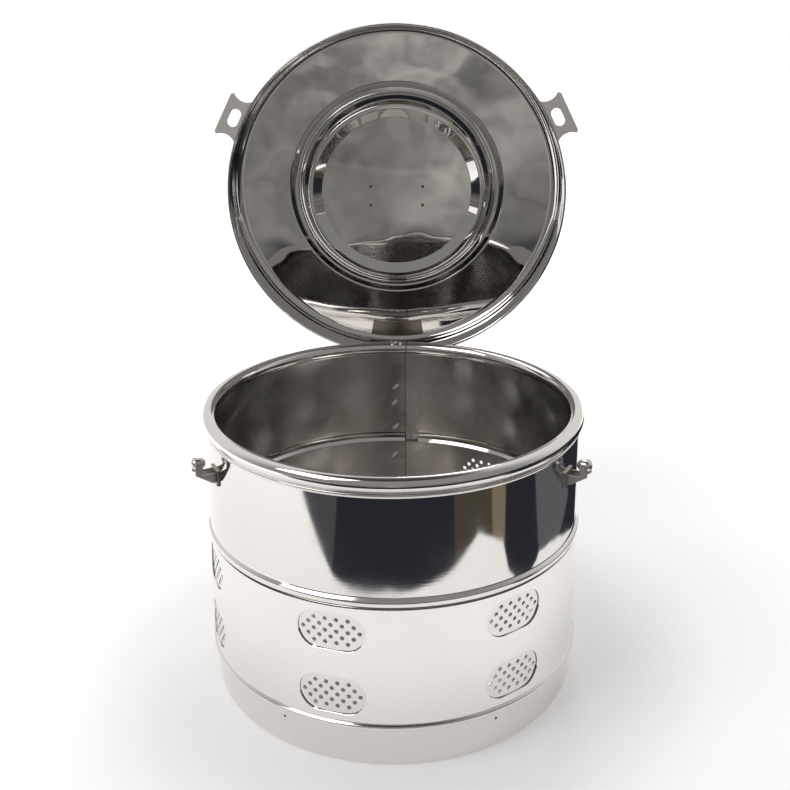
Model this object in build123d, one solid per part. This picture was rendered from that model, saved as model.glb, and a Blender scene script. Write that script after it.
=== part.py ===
from build123d import *
import os
from math import asin, cos, degrees, radians, sin, sqrt

# Dressing drum for steam sterilizing, lid open. Millimetres, +Z up.
# Origin: centre of the base on the table. The front faces -Y, the lid hinge is at the back (+Y).
# A bearing is an angle round the drum, measured from the front towards +X.

os.makedirs("parts", exist_ok=True)

# ---- Driving dimensions ----
WALL_R = 140.0            # outside of the drum wall
BODY_H = 215.0            # table to the top of the rim
SHEET = 0.8               # stainless sheet of the drum
BASE_TOP = 27.7           # where the wall slips over the base pan
BAND_Z = (34.5, 121.2)    # vented belt between the two beads
BEAD_PROUD = 2.2          # how far a swaged bead stands out
MID_BEAD_TOP = 129.8
NECK_BEAD = (199.8, 204.6)
NECK_PROUD = 1.4
ROLL_R = 4.9              # section radius of the rolled rim
ROLL_CENTRE_R = 138.7

VENT_W, VENT_H = 48.5, 28.0    # one obround vent
VENT_ROWS_Z = (53.5, 101.7)
VENT_PITCH = 54.0              # degrees between vents in a row
VENT_FIRST = -124.2
VENTS_PER_ROW = 6
HOLE_D = 3.0
HOLE_STEP = (8.1, 4.35)        # along a row, and from row to row
HOLE_ROWS = (4, 5, 6, 5, 4)

BAND_GAP = 0.35           # between the shutter band and the wall
BAND_SHEET = 0.7
BAND_END_PLAY = 0.6       # between the band and each bead

LID_SHEET = 0.7
LID_MOUTH_Z = 185.4       # lower edge of the shut lid
LID_SKIRT_R = 144.2       # inside of its skirt
LID_TOP_Z = 217.0         # underside of its flat ring
LID_CORNER = 5.0
LID_OPEN = 88.0           # degrees from shut to the open stop
HINGE_Y, HINGE_Z = 158.0, 184.0
HEM_R = 146.6

LATCH_BEARING = 63.5      # lugs and toggles stand this far round from the front
TOGGLE_R = 4.0
TOGGLE_TAIL, TOGGLE_NOSE = 6.4, 4.4
PIVOT_R, PIVOT_Z = 153.1, 191.8
EAR_R, EAR_T = 2.6, 1.3
EAR_GAP = 8.4
EAR_FOOT_Z = 177.5
PIVOT_PIN_R = 1.2
RUNNING = 0.05            # radial clearance of a pin in its hole

LUG_Z = (185.9, 187.3)
LUG_OUT = 164.2
LUG_SLOT = (16.0, 9.0)    # along the rim, and across
LUG_SLOT_R = 153.4

HINGE_W = 30.0            # strap hinge at the back
KNUCKLE_W = 11.0          # its middle knuckle, on the lid's leaf
LEAF_T = 1.4
BARREL_R = 4.0
PIN_R = 2.0

ROD_SIDES = 10
ROD_R = 3.0               # carrying handle, a closed loop of rod
HANDLE_W, HANDLE_H = 86.0, 44.0
HANDLE_BEND = 12.0
CLIP_X, CLIP_W, CLIP_T = 23.0, 11.0, 1.2
HANDLE_Y = 4.0            # pivot line, a little towards the hinge
DISC_Z = 207.2            # underside of the lid's centre disc

SEAM_BEARING = 174.4
CLASP_BEARING = -169.0    # joint of the shutter band
KNOB_BEARING = -148.0

ROOT = WALL_R - SHEET     # inside of the wall
REAR = 180.0
PAN_R = ROOT              # the pan fits inside the shell's lower end
PAN_TOP = BASE_TOP + 6.0
PAN_CORNER = 5.0
BAND_R = WALL_R + BAND_GAP + BAND_SHEET
ROD_Z = DISC_Z + LID_SHEET + 0.3 + ROD_R


# ---- Helpers ----
def ring(points):
    """Turn a closed outline of (radius, height) points round the drum's axis."""
    face = make_face(Plane.XZ * Polyline(*points, close=True))
    return revolve(face, Axis.Z)


def sheet_ring(points, thickness):
    """Turn a pressed sheet: points run along its outer face, thickness goes towards the axis."""
    inner = [(r - thickness, z) for r, z in reversed(points)]
    return ring(points + inner)


def at_bearing(shape, bearing):
    """Move a shape made along +X to its bearing round the drum."""
    return Rot(0, 0, bearing - 90.0) * shape


def bead(low, high, proud, radius=WALL_R):
    """Outline of a swaged bead with sloping shoulders."""
    slope = min(proud * 0.8, (high - low) / 3)
    return [(radius, low), (radius + proud, low + slope), (radius + proud, high - slope), (radius, high)]


def opened(shape):
    """Carry a piece of the lid from its shut place to the open one."""
    return Pos(0, HINGE_Y, HINGE_Z) * Rot(-LID_OPEN, 0, 0) * Pos(0, -HINGE_Y, -HINGE_Z) * shape


def save(name, shape):
    """Write one sub-part."""
    shape.label = name
    export_step(shape, f"parts/{name}.step")


def group(shapes):
    """Several separate solids that share one node."""
    return Compound(children=[solid for shape in shapes for solid in shape.solids()])


def bevels(centre, radius, first, last, count):
    """Points on an arc, a few flats in place of the curve; angles in degrees."""
    x, z = centre
    turns = [radians(first + (last - first) * i / count) for i in range(count + 1)]
    return [(x + radius * cos(a), z + radius * sin(a)) for a in turns]


def tube(r_out, r_in, x_low, x_high):
    """A knuckle on the hinge line, or a solid pin when the inner radius is 0."""
    bar = Cylinder(r_out, x_high - x_low)
    if r_in:
        bar -= Cylinder(r_in, x_high - x_low)
    return Pos((x_low + x_high) / 2, HINGE_Y, HINGE_Z) * Rot(0, 90, 0) * bar


def side_plate(points, x_low, x_high):
    """Extrude an outline of (y, z) points along X."""
    face = make_face(Plane.YZ * Polyline(*points, close=True))
    return Pos(x_low, 0, 0) * extrude(face, x_high - x_low, dir=(1, 0, 0))


def patch(radius, thickness, width, low, high, bearing):
    """A plate curved to lie on a cylinder."""
    belt = sheet_ring([(radius + thickness, low), (radius + thickness, high)], thickness)
    window = Pos(radius, 0, (low + high) / 2) * Box(radius, width, high - low + 2)
    return at_bearing(belt & window, bearing)


# ---- Drum ----
vent_bearings = [VENT_FIRST + VENT_PITCH * i for i in range(VENTS_PER_ROW)]


def around(piece):
    """Copies of a radial piece, one at each vent of a row."""
    return [at_bearing(piece, bearing) for bearing in vent_bearings]


def wall_outside():
    """Outside of the wall, from its lower edge up into the rolled rim."""
    beads = bead(BASE_TOP, BAND_Z[0], BEAD_PROUD) + bead(BAND_Z[1], MID_BEAD_TOP, BEAD_PROUD)
    return beads + bead(*NECK_BEAD, NECK_PROUD) + [(WALL_R, BODY_H - ROLL_R)]


def wall_inside():
    """Inside of the wall; only the middle bead shows here as a groove."""
    return [(ROOT, BASE_TOP)] + bead(BAND_Z[1], MID_BEAD_TOP, BEAD_PROUD, ROOT) + [(ROOT, BODY_H - ROLL_R)]


def vent_frame(z):
    """A radial block as large as one perforated plate."""
    return Pos(WALL_R, 0, z) * Box(20, VENT_W + 1, VENT_H + 2)


def drum_shell():
    """Wall with its beads and rolled rim, and a frame left open for each perforated plate."""
    roll = bevels((ROLL_CENTRE_R, BODY_H - ROLL_R), ROLL_R / cos(radians(22.5)), -22.5, 292.5, 7)
    shell = ring(wall_outside() + wall_inside()[::-1]) + ring(roll)
    for z in VENT_ROWS_Z:
        shell -= around(vent_frame(z))
    return shell


def hole_places():
    """Across and up offsets of the staggered holes of one vent."""
    middle = (len(HOLE_ROWS) - 1) / 2
    for row, count in enumerate(HOLE_ROWS):
        for i in range(count):
            yield (i - (count - 1) / 2) * HOLE_STEP[0], (row - middle) * HOLE_STEP[1]


def vent_screens(z):
    """Perforated plates that fill one row of frames, flush with the wall; folded between holes, not curved."""
    half, pitch = (VENT_W + 1) / 2, HOLE_STEP[0] / 2
    folds = [-half] + [(k - 5.5) * pitch for k in range(12)] + [half]
    front = [(sqrt(WALL_R**2 - y**2), y) for y in folds]
    back = [(x * ROOT / WALL_R, y * ROOT / WALL_R) for x, y in reversed(front)]
    back[0], back[-1] = (sqrt(ROOT**2 - half**2), half), (sqrt(ROOT**2 - half**2), -half)
    plate = Pos(0, 0, z - VENT_H / 2 - 1) * extrude(make_face(Polyline(*front, *back, close=True)), VENT_H + 2)
    punch = Box(20, HOLE_D, HOLE_D)
    punches = []
    for across, up in hole_places():
        turn = degrees(asin(across / WALL_R))
        punches.append(Rot(0, 0, turn) * Pos(WALL_R, 0, z + up) * punch)
    return group(around(plate - punches))


def base_pan():
    """Pan that closes the drum; its wall fits inside the lower end of the shell."""
    corner = PAN_R - PAN_CORNER
    outside = [(0, 0)] + bevels((corner, PAN_CORNER), PAN_CORNER, -90, 0, 2) + [(PAN_R, PAN_TOP)]
    inside = [(0, SHEET), (corner, SHEET), (PAN_R - SHEET, PAN_CORNER), (PAN_R - SHEET, PAN_TOP)]
    return ring(outside + inside[::-1])


def seam_strip():
    """Lap of the wall sheet: a strip inside the drum that follows the bead."""
    low, high = PAN_TOP + 1, BODY_H - 2 * ROLL_R - 0.6
    window = Pos(ROOT, 0, (low + high) / 2) * Box(20, 11, high - low)
    return sheet_ring(wall_inside(), SHEET) & at_bearing(window, SEAM_BEARING)


# ---- Latches ----
def latch_bracket():
    """Clevis on the wall: a pad and two ears that pass up through the lid's lug."""
    pad = patch(WALL_R, 1.4, 15, EAR_FOOT_Z - 2.5, EAR_FOOT_Z + 9, 90)
    inner, outer = PIVOT_R - EAR_R, PIVOT_R + EAR_R
    under_lid = LID_MOUTH_Z - 0.8
    outline = bevels((PIVOT_R, PIVOT_Z), EAR_R, 0, 180, 6) + [
        (inner, under_lid), (WALL_R + 0.7, under_lid), (WALL_R + 0.7, EAR_FOOT_Z), (WALL_R + 4, EAR_FOOT_Z),
        (outer, under_lid + 0.5),
    ]
    ear = extrude(make_face(Plane.XZ * Polyline(*outline, close=True)), EAR_T, dir=(0, -1, 0))
    clevis = pad + Pos(0, -EAR_GAP / 2, 0) * ear + Pos(0, EAR_GAP / 2 + EAR_T, 0) * ear
    return clevis - Pos(PIVOT_R, 0, PIVOT_Z) * Rot(90, 0, 0) * Cylinder(PIVOT_PIN_R, 30)


def pivot_pin():
    """Pin across the clevis, its ends a little proud of the ears."""
    pin = Cylinder(PIVOT_PIN_R, EAR_GAP + 2 * EAR_T + 1)
    return Pos(PIVOT_R, 0, PIVOT_Z) * Rot(90, 0, 0) * pin


def toggle():
    """Bullet-nosed bar, folded outwards, with a hole for its pivot pin."""
    nose = bevels((TOGGLE_NOSE - TOGGLE_R, 0), TOGGLE_R, 0, 90, 2)[1:]
    tail = bevels((TOGGLE_R - TOGGLE_TAIL, 0), TOGGLE_R, 90, 180, 2)[:-1]
    ends = [(-TOGGLE_TAIL + 0.5, 0), (TOGGLE_NOSE - 0.5, 0)]
    bullet = revolve(make_face(Plane.XZ * Polyline(*nose, *tail, *ends, close=True)), Axis.X)
    bullet -= Rot(90, 0, 0) * Cylinder(PIVOT_PIN_R + RUNNING, 30)
    return Pos(PIVOT_R, 0, PIVOT_Z) * bullet


def lug():
    """Flared ear on the lid's hem, with a slot that drops over the toggle; made for the shut lid."""
    root, neck, tip = (HEM_R - 3, 21.0), (LUG_OUT - 10.5, 15.8), (LUG_OUT - 2.2, 19.3)
    corner = (LUG_OUT, 17.4)
    half = ThreePointArc(root, neck, tip) + Line(tip, corner) + Line(corner, (LUG_OUT, 0))
    half += Line((LUG_OUT, 0), (HEM_R - 3, 0)) + Line((HEM_R - 3, 0), root)
    face = make_face(half)
    plate = face + face.mirror(Plane.XZ) - Pos(LUG_SLOT_R, 0) * Rot(0, 0, 90) * SlotOverall(*LUG_SLOT)
    low, high = LUG_Z
    return Pos(0, 0, low) * extrude(plate, high - low) - Cylinder(HEM_R, 2 * BODY_H)


# ---- Lid, made shut and then carried to its open place ----
def lid_pan():
    """Pressed lid: hemmed skirt, flat ring, raised bead and a sunk well for the handle."""
    corner = LID_CORNER
    inside = [(LID_SKIRT_R, LID_MOUTH_Z)]
    inside += bevels((LID_SKIRT_R - corner, LID_TOP_Z - corner), corner, 0, 90, 2)
    inside += [(98.0, LID_TOP_Z), (93.0, LID_TOP_Z + 5), (88.8, LID_TOP_Z + 5)]
    inside += [(77.0, DISC_Z - 4), (66.0, DISC_Z), (0, DISC_Z)]
    outside = [(LID_SKIRT_R + LID_SHEET, LID_MOUTH_Z)]
    outside += bevels((LID_SKIRT_R - corner, LID_TOP_Z - corner), corner + LID_SHEET, 0, 90, 2)
    outside += [(r + side, z + LID_SHEET) for (r, z), side in zip(inside[4:], (0.3, 0.3, -0.4, -0.9, -0.2, 0))]
    hem_top = LUG_Z[1] + 0.6
    hem = [(LID_SKIRT_R, LID_MOUTH_Z), (HEM_R, LID_MOUTH_Z), (HEM_R, hem_top), (LID_SKIRT_R, hem_top + 1.9)]
    return ring(outside + inside[::-1]) + ring(hem)


def handle_clip(x):
    """Saddle strap over the handle's rod, with a foot each side of it."""
    floor, foot = DISC_Z + LID_SHEET, 11.8
    arch = ROD_R + RUNNING
    crown = arch + CLIP_T
    outline = (
        Polyline((arch, ROD_Z), (arch, floor), (foot, floor), (foot, floor + CLIP_T), (crown, floor + CLIP_T),
                 (crown, ROD_Z))
        + ThreePointArc((crown, ROD_Z), (0, ROD_Z + crown), (-crown, ROD_Z))
        + Polyline((-crown, ROD_Z), (-crown, floor + CLIP_T), (-foot, floor + CLIP_T), (-foot, floor),
                   (-arch, floor), (-arch, ROD_Z))
        + ThreePointArc((-arch, ROD_Z), (0, ROD_Z + arch), (arch, ROD_Z))
    )
    strap = extrude(make_face(Plane.YZ * outline), CLIP_W, dir=(1, 0, 0))
    return Pos(x - CLIP_W / 2, HANDLE_Y, 0) * strap


def carrying_handle():
    """Closed loop of rod, folded down towards the hinge. The bends are short straight runs."""
    turns, x, y = [], HANDLE_W / 2 - HANDLE_BEND, HANDLE_H / 2 - HANDLE_BEND
    for i, (cx, cy) in enumerate(((x, -y), (x, y), (-x, y), (-x, -y))):
        turns += bevels((cx, cy), HANDLE_BEND, 90 * i - 90, 90 * i, 3)
    middle = (0, HANDLE_Y + HANDLE_H / 2, ROD_Z)
    loop = Pos(*middle) * Polyline((0, -HANDLE_H / 2), *turns, close=True)
    start = Plane(origin=(0, HANDLE_Y, ROD_Z), z_dir=(1, 0, 0))
    ring_of_rod = sweep(start * RegularPolygon(ROD_R, ROD_SIDES), path=loop, transition=Transition.RIGHT)
    journal = Pos(0, HANDLE_Y, ROD_Z) * Rot(0, 90, 0) * Cylinder(ROD_R, 2 * x)
    return ring_of_rod + journal


def hinge_body_leaf():
    """Strap on the wall that slants out to two knuckles, notched for the lid's knuckle."""
    half, knuckle = HINGE_W / 2, KNUCKLE_W / 2 + 0.3
    strap = patch(WALL_R, LEAF_T, HINGE_W, 131.5, 168.5, REAR)
    outline = [(139.0, 166.5), (139.0, 168.5), (154.3, 184.0), (156.4, 181.8), (141.4, 166.5)]
    slant = side_plate(outline, -half, half) - Cylinder(WALL_R, 3 * BODY_H)
    leaf = strap + slant - tube(BARREL_R + 0.4, 0, -knuckle, knuckle)
    for side in (-1, 1):
        low, high = sorted((side * knuckle, side * half))
        leaf = leaf + tube(BARREL_R, 0, low, high)
    return leaf - tube(PIN_R, 0, -HINGE_W, HINGE_W)


def hinge_lid_leaf():
    """Strap on the lid's skirt with the middle knuckle, and the tail that stops the open lid."""
    half = KNUCKLE_W / 2
    skirt = LID_SKIRT_R + LID_SHEET
    strap = patch(skirt, LEAF_T, HINGE_W, 190.5, 208.0, REAR)
    arm = side_plate([(143.0, 190.9), (143.0, 193.4), (158.5, 187.0), (155.0, 184.6)], -half, half)
    arm -= Cylinder(skirt, 3 * BODY_H)
    leaf = strap + arm + tube(BARREL_R, 0, -half, half)
    along, across = (-0.70, -0.714), (0.714, -0.70)
    corners = [(2.6, 0.5), (11.0, 0.5), (11.0, 2.0), (2.6, 2.0)]
    stop = side_plate(
        [(HINGE_Y + s * along[0] + t * across[0], HINGE_Z + s * along[1] + t * across[1]) for s, t in corners],
        -half, half,
    )
    return opened(leaf) + stop - tube(PIN_R + RUNNING, 0, -HINGE_W, HINGE_W)


def hinge_pin():
    return tube(PIN_R, 0, -HINGE_W / 2 - 1.2, HINGE_W / 2 + 1.2)


# ---- Shutter ----
def vent_window(z):
    """A radial bar with part-round ends that cuts one window of the band."""
    end = (VENT_W - VENT_H) / 2
    outline = bevels((end, 0), VENT_H / 2, -90, 90, 4) + bevels((-end, 0), VENT_H / 2, 90, 270, 4)
    bar = extrude(make_face(Plane.YZ * Polyline(*outline, close=True)), 20, dir=(1, 0, 0))
    return Pos(WALL_R - 10, 0, z) * bar


def shutter_band():
    """Belt that turns round the drum between the beads to shut the vents."""
    low, high = BAND_Z[0] + BAND_END_PLAY / 2, BAND_Z[1] - BAND_END_PLAY / 2
    band = sheet_ring([(BAND_R, low), (BAND_R, high)], BAND_SHEET)
    for z in VENT_ROWS_Z:
        band -= around(vent_window(z))
    return band


def band_clasp():
    return patch(BAND_R, BAND_SHEET, 14, BAND_Z[0] + 2, BAND_Z[1] - 2, CLASP_BEARING)


def shutter_knob():
    """Turned finger knob riveted to the band."""
    knob = ring([(0, 0), (4.0, 0), (3.2, 5.0), (5.2, 7.0), (4.6, 10.2), (0, 10.2)])
    middle = sum(BAND_Z) / 2
    return at_bearing(Pos(BAND_R, 0, middle) * Rot(0, 90, 0) * knob, KNOB_BEARING)


# ---- Write the sub-parts ----
save("drum_shell", drum_shell())
save("vent_screens_lower", vent_screens(VENT_ROWS_Z[0]))
save("vent_screens_upper", vent_screens(VENT_ROWS_Z[1]))
save("base_pan", base_pan())
save("seam_strip", seam_strip())
save("shutter_band", shutter_band())
save("band_clasp", band_clasp())
save("shutter_knob", shutter_knob())

for name, bearing in (("left", -LATCH_BEARING), ("right", LATCH_BEARING)):
    save(f"latch_bracket_{name}", at_bearing(latch_bracket(), bearing))
    save(f"pivot_pin_{name}", at_bearing(pivot_pin(), bearing))
    save(f"toggle_{name}", at_bearing(toggle(), bearing))
    save(f"lug_{name}", opened(at_bearing(lug(), bearing)))

save("lid_pan", opened(lid_pan()))
save("handle_clip_left", opened(handle_clip(-CLIP_X)))
save("handle_clip_right", opened(handle_clip(CLIP_X)))
save("carrying_handle", opened(carrying_handle()))
save("hinge_body_leaf", hinge_body_leaf())
save("hinge_lid_leaf", hinge_lid_leaf())
save("hinge_pin", hinge_pin())
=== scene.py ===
from math import asin, cos, degrees, pi, radians, sin, sqrt, tan

import bmesh
import bpy
from mathutils import Matrix, Vector
from mathutils.geometry import delaunay_2d_cdt


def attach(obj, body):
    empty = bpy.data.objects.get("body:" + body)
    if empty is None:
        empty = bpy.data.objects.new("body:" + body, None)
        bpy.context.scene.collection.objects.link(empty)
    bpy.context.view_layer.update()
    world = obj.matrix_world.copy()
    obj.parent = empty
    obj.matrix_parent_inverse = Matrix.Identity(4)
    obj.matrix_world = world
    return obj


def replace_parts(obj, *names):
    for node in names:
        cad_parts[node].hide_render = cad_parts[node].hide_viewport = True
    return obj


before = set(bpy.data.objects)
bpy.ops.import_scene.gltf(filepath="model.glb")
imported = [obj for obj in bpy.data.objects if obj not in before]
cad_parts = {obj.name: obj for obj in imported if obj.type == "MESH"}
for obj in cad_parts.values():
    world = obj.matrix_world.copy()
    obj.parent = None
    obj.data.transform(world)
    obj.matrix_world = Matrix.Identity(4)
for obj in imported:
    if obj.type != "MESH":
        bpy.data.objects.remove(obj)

bl_info = {
    "name": "Dressing Drum",
    "version": (1, 0, 0),
    "blender": (4, 5, 0),
    "location": "View3D > Sidebar > Drum",
    "description": "Dresses the packed model of a steam sterilizing drum",
    "category": "Object",
}

# Sizes here are in millimetres and are turned to metres where a mesh is made.
# The front faces -Y. A bearing is an angle round the drum, in degrees from the front towards +X.
MM = 0.001
WALL_R = 140.0
SHEET = 0.8
INSIDE_R = WALL_R - SHEET
# The shutter band is thinner than the wall and runs round it with a small clearance.
STRIP = 0.7
STRIP_GAP = 0.35
BAND_R = WALL_R + STRIP_GAP + STRIP
# The wall's rolled rim: its centre as (radius, height), the roll's own radius, and where it begins.
ROLL = (138.05, 209.9)
ROLL_R = 5.5
ROLL_FOOT = 205.0
# Lowest and highest line of each bead, and of the belt of wall between two of them that the vents pierce.
NECK_BEAD = (201.2, 204.4)
MIDDLE_BEAD = (121.6, 129.4)
LOWER_BEAD = (28.1, 34.1)
BELT = (34.5, 121.2)
# Centres of the vents, as (bearing, height).
VENTS = [(-124.2 + 54.0 * i, z) for i in range(6) for z in (53.5, 101.7)]
# The lid from below: its thickness, the heights of its flat ring and of the well sunk in the middle, the
# radius of its skirt, and the bend between ring and skirt.
LID_SHEET = 0.7
LID_FLAT = 217.0
LID_WELL = 207.2
LID_SKIRT = 144.2
LID_BEND = 8.5
# Sizes are those with the lid shut; pieces that ride on the lid are then turned open about its hinge.
SHUT = Matrix.Identity(4)
OPEN_ANGLE = 88.0
HINGE = Vector((0, 158.0, 184.0))
OPEN = Matrix.Translation(HINGE) @ Matrix.Rotation(radians(-OPEN_ANGLE), 4, "X") @ Matrix.Translation(-HINGE)
# Turns a rivet or a weld to face the other way.
OVER = Matrix.Rotation(pi, 4, "X")


# ---- Materials ----
def linear(colour):
    """A hex sRGB colour as linear RGBA."""
    values = [int(colour[i:i + 2], 16) / 255 for i in (1, 3, 5)]
    return tuple(v / 12.92 if v < 0.04045 else ((v + 0.055) / 1.055) ** 2.4 for v in values) + (1.0,)


def add(tree, kind, inputs=None, **settings):
    """Add a node, set its settings, then give each named or numbered input a value or a link."""
    node = tree.nodes.new("ShaderNode" + kind)
    for name, value in settings.items():
        setattr(node, name, value)
    for name, value in (inputs or {}).items():
        if isinstance(value, bpy.types.NodeSocket):
            tree.links.new(value, node.inputs[name])
        else:
            node.inputs[name].default_value = value
    return node


def new_tree(name):
    """A material with an empty node tree."""
    material = bpy.data.materials.new(name)
    material.use_nodes = True
    tree = material.node_tree
    tree.nodes.clear()
    return material, tree


def drum_axis(tree, tilt):
    """Coordinates along the axis that a pressing was spun on; the lid's is tilted about its hinge."""
    place = add(tree, "TexCoord").outputs["Object"]
    if not tilt:
        return place
    hinge = HINGE * MM
    shift = hinge - Matrix.Rotation(radians(tilt), 3, "X") @ hinge
    turned = add(tree, "Mapping", {"Vector": place, "Rotation": (radians(tilt), 0, 0), "Location": shift})
    return turned.outputs[0]


def polished_steel(name, colour, shine, ripple, lines, ripple_mm=70.0, tilt=0.0):
    """Stainless sheet or rod, pressed and then buffed. Buffing leaves a mirror with faint lines round
    the piece and a haze that comes and goes; pressing leaves slow ripples that bend what it reflects.

    shine is its roughness where it is brightest; ripple and lines are the heights of both in mm.
    """
    material, tree = new_tree(name)
    place = drum_axis(tree, tilt)
    # The haze comes in patches about 36 mm across, the width of a buffing wheel.
    haze = add(tree, "TexNoise", {"Vector": place, "Scale": 28.0, "Detail": 5.0, "Roughness": 0.6})
    rough = add(tree, "MapRange", {"Value": haze.outputs["Fac"], "From Min": 0.35, "From Max": 0.7,
                                   "To Min": shine, "To Max": shine * 2.1})
    # Buffing lines are really less than 0.1 mm apart; drawn about 0.7 mm apart so that they show.
    # They are spaced along radius plus height, so they run round flat, sloped and upright parts alike.
    apart = add(tree, "SeparateXYZ", {0: place})
    flat = add(tree, "CombineXYZ", {"X": apart.outputs["X"], "Y": apart.outputs["Y"]})
    radius = add(tree, "VectorMath", {0: flat.outputs[0]}, operation="LENGTH")
    across = add(tree, "Math", {0: radius.outputs["Value"], 1: apart.outputs["Z"]}, operation="ADD")
    spun = add(tree, "CombineXYZ", {"X": apart.outputs["X"], "Y": apart.outputs["Y"], "Z": across.outputs[0]})
    stretch = add(tree, "Mapping", {"Vector": spun.outputs[0], "Scale": (3.0, 3.0, 1400.0)})
    fine = add(tree, "TexNoise", {"Vector": stretch.outputs[0], "Scale": 1.0, "Detail": 2.0})
    slow = add(tree, "TexNoise", {"Vector": place, "Scale": 1000.0 / ripple_mm, "Detail": 1.5})
    lined = add(tree, "Bump", {"Height": fine.outputs["Fac"], "Strength": 1.0, "Distance": lines * MM})
    rippled = add(tree, "Bump", {"Height": slow.outputs["Fac"], "Strength": 1.0, "Distance": ripple * MM,
                                 "Normal": lined.outputs[0]})
    steel = add(tree, "BsdfPrincipled", {"Base Color": linear(colour), "Metallic": 1.0,
                                         "Roughness": rough.outputs[0], "Normal": rippled.outputs[0]})
    add(tree, "OutputMaterial", {"Surface": steel.outputs[0]})
    return material


def satin_steel(name, colour):
    """Stainless pressings, tumbled after blanking: a soft grey sheen with fine grain. The tumbled skin
    scatters about as much light as it mirrors, so it's only half metallic."""
    material, tree = new_tree(name)
    place = add(tree, "TexCoord").outputs["Object"]
    # Tumbling leaves grain of about 0.1 mm, drawn at 0.5 mm so that it shows, and duller patches of 6 mm.
    grain = add(tree, "TexNoise", {"Vector": place, "Scale": 2000.0, "Detail": 3.0})
    patch = add(tree, "TexNoise", {"Vector": place, "Scale": 160.0, "Detail": 4.0})
    rough = add(tree, "MapRange", {"Value": patch.outputs["Fac"], "From Min": 0.3, "From Max": 0.7,
                                   "To Min": 0.3, "To Max": 0.46})
    bump = add(tree, "Bump", {"Height": grain.outputs["Fac"], "Strength": 1.0, "Distance": 0.012 * MM})
    steel = add(tree, "BsdfPrincipled", {"Base Color": linear(colour), "Metallic": 0.55,
                                         "Roughness": rough.outputs[0], "Normal": bump.outputs[0]})
    add(tree, "OutputMaterial", {"Surface": steel.outputs[0]})
    return material


# Each finish as the function that makes it and its values: a name, a colour, and for polished steel the
# shine, ripple height and line height, then ripple spacing and tilt where they aren't the usual ones.
FINISHES = {
    # Rolled sheet, buffed bright: a near mirror, as good as flat.
    "wall": (polished_steel, "buffed stainless wall sheet", "#E6E2DE", 0.045, 0.05, 0.004),
    # The same sheet from inside, where a wheel hardly reaches: greyer, and blurs what it mirrors.
    "inside": (polished_steel, "half-buffed stainless inside", "#DFDDDA", 0.13, 0.12, 0.002),
    # Pressed and then buffed brightest of all; the pressing left its flats slightly wavy.
    "lid": (polished_steel, "buffed stainless lid pressing", "#D9D7D4", 0.022, 1.6, 0.0015, 75.0, OPEN_ANGLE),
    # Strip buffed lengthways: bright, with clearer lines than the wall.
    "band": (polished_steel, "buffed stainless strip", "#EFECE8", 0.07, 0.03, 0.006),
    # Drawn bright and not buffed: even, with soft highlights.
    "rod": (polished_steel, "drawn stainless rod", "#D8D5D0", 0.10, 0.01, 0.002),
    # Bent from strip, with a dull grey sheen; its colour is darkened as painted shade, the dark it shows
    # between toggle and wall.
    "clevis": (polished_steel, "stainless clevis darkened as painted shade", "#A7A29B", 0.16, 0.02, 0.004),
    # Blanked and tumbled: pale, soft and without lines.
    "fitting": (satin_steel, "tumbled stainless pressing", "#E6E2DD"),
    # Oxide on a weld or a rivet's tail: brownish dark and dull.
    "weld": (satin_steel, "heat-stained weld", "#6E665F"),
    # Polish and dirt packed in a joint: nearly black.
    # Nearly black painted shade, laid along the lap's edge, in the roll's joint and in its pits.
    "gap": (satin_steel, "painted shade in seams", "#2E2B29"),
    # A patch of sheet painted darker as a reflection of the drum's dark inside; it also blurs what it
    # mirrors.
    "stain": (polished_steel, "stainless darkened as painted reflection", "#6A645D", 0.12, 0.02, 0.002, 40.0, OPEN_ANGLE),
}
MATERIALS = {}


def steel(kind):
    """The material of a finish, made the first time it is asked for."""
    if kind not in MATERIALS:
        make, *values = FINISHES[kind]
        MATERIALS[kind] = make(*values)
    return MATERIALS[kind]


# ---- Meshes ----
def arc(centre, radius, first, last, steps):
    """Points of an arc in (radius, height), angles in degrees."""
    turns = [radians(first + (last - first) * i / steps) for i in range(steps + 1)]
    return [(centre[0] + radius * cos(t), centre[1] + radius * sin(t)) for t in turns]


def rounded(corners, closed=True, steps=5):
    """A line through (x, y, fillet) corners, with each corner rounded by its fillet."""
    out = []
    count = len(corners)
    for i, (x, y, fillet) in enumerate(corners):
        here = Vector((x, y))
        ends = not closed and i in (0, count - 1)
        if fillet <= 0 or ends:
            out.append((x, y))
            continue
        before = Vector(corners[i - 1][:2]) - here
        after = Vector(corners[(i + 1) % count][:2]) - here
        # A fillet stops just short of halfway to the next corner, so two never overlap.
        most = 0.49 * min(before.length, after.length)
        reach = min(fillet / tan(before.angle(after) / 2), most)
        start, end = here + before.normalized() * reach, here + after.normalized() * reach
        for k in range(steps + 1):
            t = k / steps
            p = start.lerp(here, t).lerp(here.lerp(end, t), t)
            out.append((p.x, p.y))
    return out


def new_object(name, verts, faces, body, slot, finish, place=SHUT, angle=32.0):
    """A smooth-shaded mesh in metres that rides on a body; edges sharper than the angle stay crisp."""
    mesh = bpy.data.meshes.new(name)
    mesh.from_pydata([place @ Vector(v) * MM for v in verts], [], faces)
    mesh.validate()
    mesh.shade_smooth()
    mesh.set_sharp_from_angle(angle=radians(angle))
    mesh.materials.append(steel(finish))
    piece = bpy.data.objects.new(name, mesh)
    bpy.context.scene.collection.objects.link(piece)
    bpy.context.view_layer.update()
    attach(piece, body)
    return piece


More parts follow.
